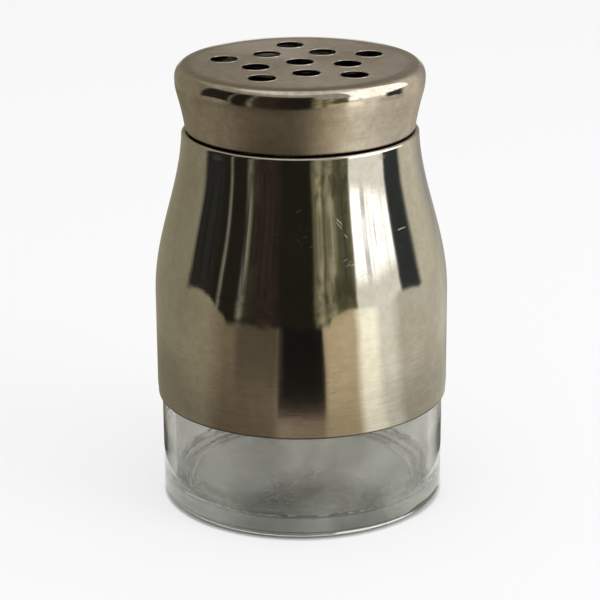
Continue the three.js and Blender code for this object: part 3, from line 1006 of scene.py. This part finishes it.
def make_cap():
    edge = SHEET / 2
    skirt = smooth_skirt(28)
    lip_top = CAP_FOOT + SHEET
    outside = [point for point in skirt if point[1] > CAP_FOOT + 1.1 * edge]
    inside = [(r - SHEET, z) for r, z in skirt if z > lip_top + edge]
    crown = ROLL_CENTRE.x - ROLL_START
    roll_height = ROLL_HEIGHT - ROLL_FALL
    shoulder = [
        (ROLL_CENTRE.x - ROLL_START * t, CAP_TOP - ROLL_FALL * (1 - ease(0.5 + t / 2) * 2 + 1))
        for t in (0.2, 0.4, 0.6, 0.8, 1.0)
    ]
    outline = [
        (0, CAP_TOP - SHEET),
        *level(0, crown, CAP_TOP - SHEET, 4),
        *arc(ROLL_CENTRE, (ROLL_WIDTH - SHEET, ROLL_HEIGHT - SHEET), 90, 0, 10)[:-1],
        *reversed(inside),
        (skirt[0][0] - SHEET, lip_top),
        *arc((FLANGE_BORE + edge, CAP_FOOT + edge), (edge, edge), 90, 270, 6),
        *arc((CAP_FOOT_RADIUS - edge, CAP_FOOT + edge), (edge, edge), -90, 0, 5),
        *outside,
        *arc(ROLL_CENTRE, (ROLL_WIDTH, roll_height), 0, 90, 18)[1:],
        *shoulder,
        (0, CAP_TOP),
    ]
    cap = turn_piece("cap_sheet", outline, STEEL_STEPS)
    combine(cap, make_lips(), "UNION")
    combine(cap, make_punches(), "DIFFERENCE")
    smooth(cap, 30)
    apply_modifier(cap, "WEIGHTED_NORMAL", keep_sharp=True, weight=50)
    tones = colour(0.57, 0.52, 0.455), colour(0.42, 0.367, 0.307)
    material = worked_steel("cap_steel", tones, 0.43, 0.15, cap_mirror, cap_foot_painted_shade)
    dress(cap, material, "cap_shell", "cap")


# Floor, world and lamps


def seen_directly(finish):
    """One for camera, mirror and glass rays, nought for light on matt surfaces."""
    path = finish.node("ShaderNodeLightPath", {}, {})
    return path("Is Camera Ray").larger(path("Is Glossy Ray")).larger(path("Is Transmission Ray"))


def make_floor():
    bpy.ops.mesh.primitive_circle_add(vertices=96, radius=3.0, fill_type="NGON")
    floor = bpy.context.object
    floor.name = "studio_floor"
    paint = new_finish("studio_floor")
    matt = paint.shader({"Base Color": colour(0.86, 0.86, 0.86), "Roughness": 0.9, "Specular IOR Level": 0.0})
    white = paint.node("ShaderNodeEmission", {}, {"Color": colour(1, 1, 1), "Strength": 1.0})("Emission")
    radius = paint.reach(paint.place())
    contact = paint.band(radius, JAR_RADIUS - HEEL_WIDTH - BEARING_WIDTH, JAR_RADIUS - 0.4 * MM, 0.7 * MM)
    share = seen_directly(paint) * (1 - contact * 0.9) * 0.66
    floor.data.materials.append(paint.out(paint.mix(share, matt, white)))


def make_world():
    world = bpy.data.worlds.new("studio")
    bpy.context.scene.world = world
    sky = Finish(world)
    tone = sky.blend(seen_directly(sky), colour(0.72, 0.72, 0.72), colour(1, 1, 1))
    back = sky.node("ShaderNodeBackground", {}, {"Color": tone, "Strength": 1.0})("Background")
    sky.out(back, "ShaderNodeOutputWorld")


def area_lamp(name, azimuth, height, distance, size, power, tint=(1, 1, 1)):
    """A soft rectangle that faces the jar, its azimuth counted from the camera to the right."""
    angle = math.radians(azimuth)
    place = Vector((math.sin(angle) * distance, -math.cos(angle) * distance, height))
    aim = Vector((0, 0, 60 * MM)) - place
    bpy.ops.object.light_add(type="AREA", location=place, rotation=aim.to_track_quat("-Z", "Y").to_euler())
    lamp = bpy.context.object
    lamp.name = name
    lamp.data.shape = "RECTANGLE"
    lamp.data.size, lamp.data.size_y = size
    lamp.data.energy = power
    lamp.data.color = tint
    lamp.visible_glossy = False


def make_light():
    area_lamp("window_light", 62, 0.38, 1.0, (0.62, 0.72), 5.0)
    area_lamp("top_light", 0, 1.4, 0.2, (1.0, 1.0), 5.0)


def around(finish, angle, tones):
    """Tones laid round the set, from a table of azimuths in degrees."""
    stops = [((degrees + 180) / 360, tone) for degrees, tone in tones]
    return finish.node("ShaderNodeValToRGB", {"stops": stops}, {"Fac": angle / math.tau + 0.5})("Color")


def sector(finish, angle, azimuths, soft=1.0):
    return finish.band(angle, math.radians(azimuths[0]), math.radians(azimuths[1]), math.radians(soft))


def paint_blind(paint, place, height):
    """The pale pleated blind, dimmer at its foot."""
    folds = paint.noise(paint.stretched(place, (BLIND_FOLDS, BLIND_FOLDS, 3.0)), 1.0, 2.0, 0.6)
    blind = paint.blend(paint.step(folds, 0.38, 0.46), (*FOLD, 1.0), (*BLIND, 1.0))
    return paint.blend(paint.step(height, *BLIND_DUSK), (*BLIND_FOOT, 1.0), blind)


def paint_walls(paint, place, leaning, stain):
    """Upright screens round the set, with dark pleats at the left and leaves beside the blind."""
    pleats = paint.noise(paint.stretched(place, (16, 16, 1.2)), 1.0, 3.0, 0.6)
    leaves = paint.noise(paint.stretched(place, (11, 11, 6)), 1.0, 4.0, 0.7)
    walls = around(paint, leaning + (stain - 0.5) * 0.07, WALL_TONES)
    room = sector(paint, leaning, ROOM_AZIMUTHS) * paint.step(pleats, 0.45, 0.6)
    walls = paint.blend(room * 0.75, walls, (*NIGHT, 1.0))
    garden = sector(paint, leaning, LEAF_AZIMUTHS) * paint.step(leaves, 0.42, 0.58)
    return paint.blend(garden * 0.8, walls, (*MOSS, 1.0))


def paint_floor(paint, angle, radius):
    """The low screen, with a dark straight strip in front and a dim patch at its left."""
    floor = around(paint, angle, FLOOR_TONES)
    started = paint.step(radius, STRIP_START - STRIP_SOFT, STRIP_START + STRIP_SOFT)
    floor = paint.blend(sector(paint, angle, STRIP_AZIMUTHS) * started, floor, (*PIT, 1.0))
    dusk = sector(paint, angle, DUSK_AZIMUTHS, 8.0) * paint.step(radius, *DUSK_START)
    return paint.blend(dusk, floor, (*DUSK, 1.0))


def make_surround():
    """A bowl of dark and pale studio screens round the set, seen only in reflections."""
    outline = [(r, SCREEN_LIFT) for r in (SCREEN_MOUTH, FOOT_SHADE, FLOOR_REACH)]
    outline += arc((0, SCREEN_LIFT), (SCREEN_RADIUS, SCREEN_RADIUS), 0, 90, 12)
    screens = turn_piece("studio_screens", outline, 96)
    paint = new_finish("studio_screens")
    place = paint.place()
    x, y, z = paint.split(place)
    angle = paint.node("ShaderNodeMath", {"operation": "ARCTAN2"}, {0: x, 1: 0 - y})("Value")
    radius = paint.reach(place)
    leaning = angle - z * LEAN
    stain = paint.noise(paint.stretched(place, (7, 7, 1.6)), 1.0, 4.0, 0.6)
    blind = paint_blind(paint, place, z)
    walls = paint_walls(paint, place, leaning, stain)
    walls = paint.blend(sector(paint, leaning, BLIND_AZIMUTHS), walls, blind)
    daylight = sector(paint, leaning, SKYLIGHT_AZIMUTHS, 4.0)
    walls = paint.blend(daylight * paint.step(z, SKYLIGHT_FOOT, SKYLIGHT_FOOT + 0.05), walls, blind)
    hills = paint.noise(paint.stretched(place, (16, 16, 3)), 1.0, 3.0, 0.6)
    edge = around(paint, angle, [(azimuth, (far, far, far)) for azimuth, far in FLOOR_EDGES])
    past_edge = radius - edge + (stain - 0.5) * 0.1 + (hills - 0.5) * 0.12
    beyond = paint.step(past_edge, 0.0, FLOOR_SOFT)
    backdrop = paint.step(paint.size(angle), *BACKDROP_ANGLES)
    backdrop = backdrop * paint.fall(z, (BACKDROP_HEIGHT, BACKDROP_HEIGHT + 0.08)) * beyond
    walls = paint.blend(backdrop, walls, (*WHITE, 1.0))
    clerestory = sector(paint, leaning, CLERESTORY_AZIMUTHS, 3.0) * CLERESTORY_DROP
    ceiling = paint.step(z + clerestory - daylight * 0.3, CEILING_FOOT, CEILING_FOOT + 0.2)
    lamp = paint.step(z, CEILING_LAMP, CEILING_LAMP + 0.04)
    above = paint.blend(lamp, (*CEILING_TONE, 1.0), (*WHITE, 1.0))
    tone = paint.blend(beyond, paint_floor(paint, angle, radius), walls)
    tone = paint.blend(ceiling, tone, above)
    strength = paint.step(radius, STRIP_START - 0.01, STRIP_START + 0.03, NEAR_SHADE, 1.0)
    strength = strength * paint.step(radius, FOOT_SHADE - 0.012, FOOT_SHADE, 0.1, 1.0)
    light = paint.node("ShaderNodeEmission", {}, {"Color": tone, "Strength": strength})("Emission")
    screens.data.materials.append(paint.out(light))
    screens.visible_camera = False
    screens.visible_diffuse = False
    screens.visible_transmission = False
    screens.visible_shadow = False


put_camera()
make_jar()
make_sleeve()
make_bond_ring()
make_seal()
make_insert()
make_cap()
make_floor()
make_world()
make_light()
make_surround()

bpy.context.scene.view_settings.view_transform = "Standard"
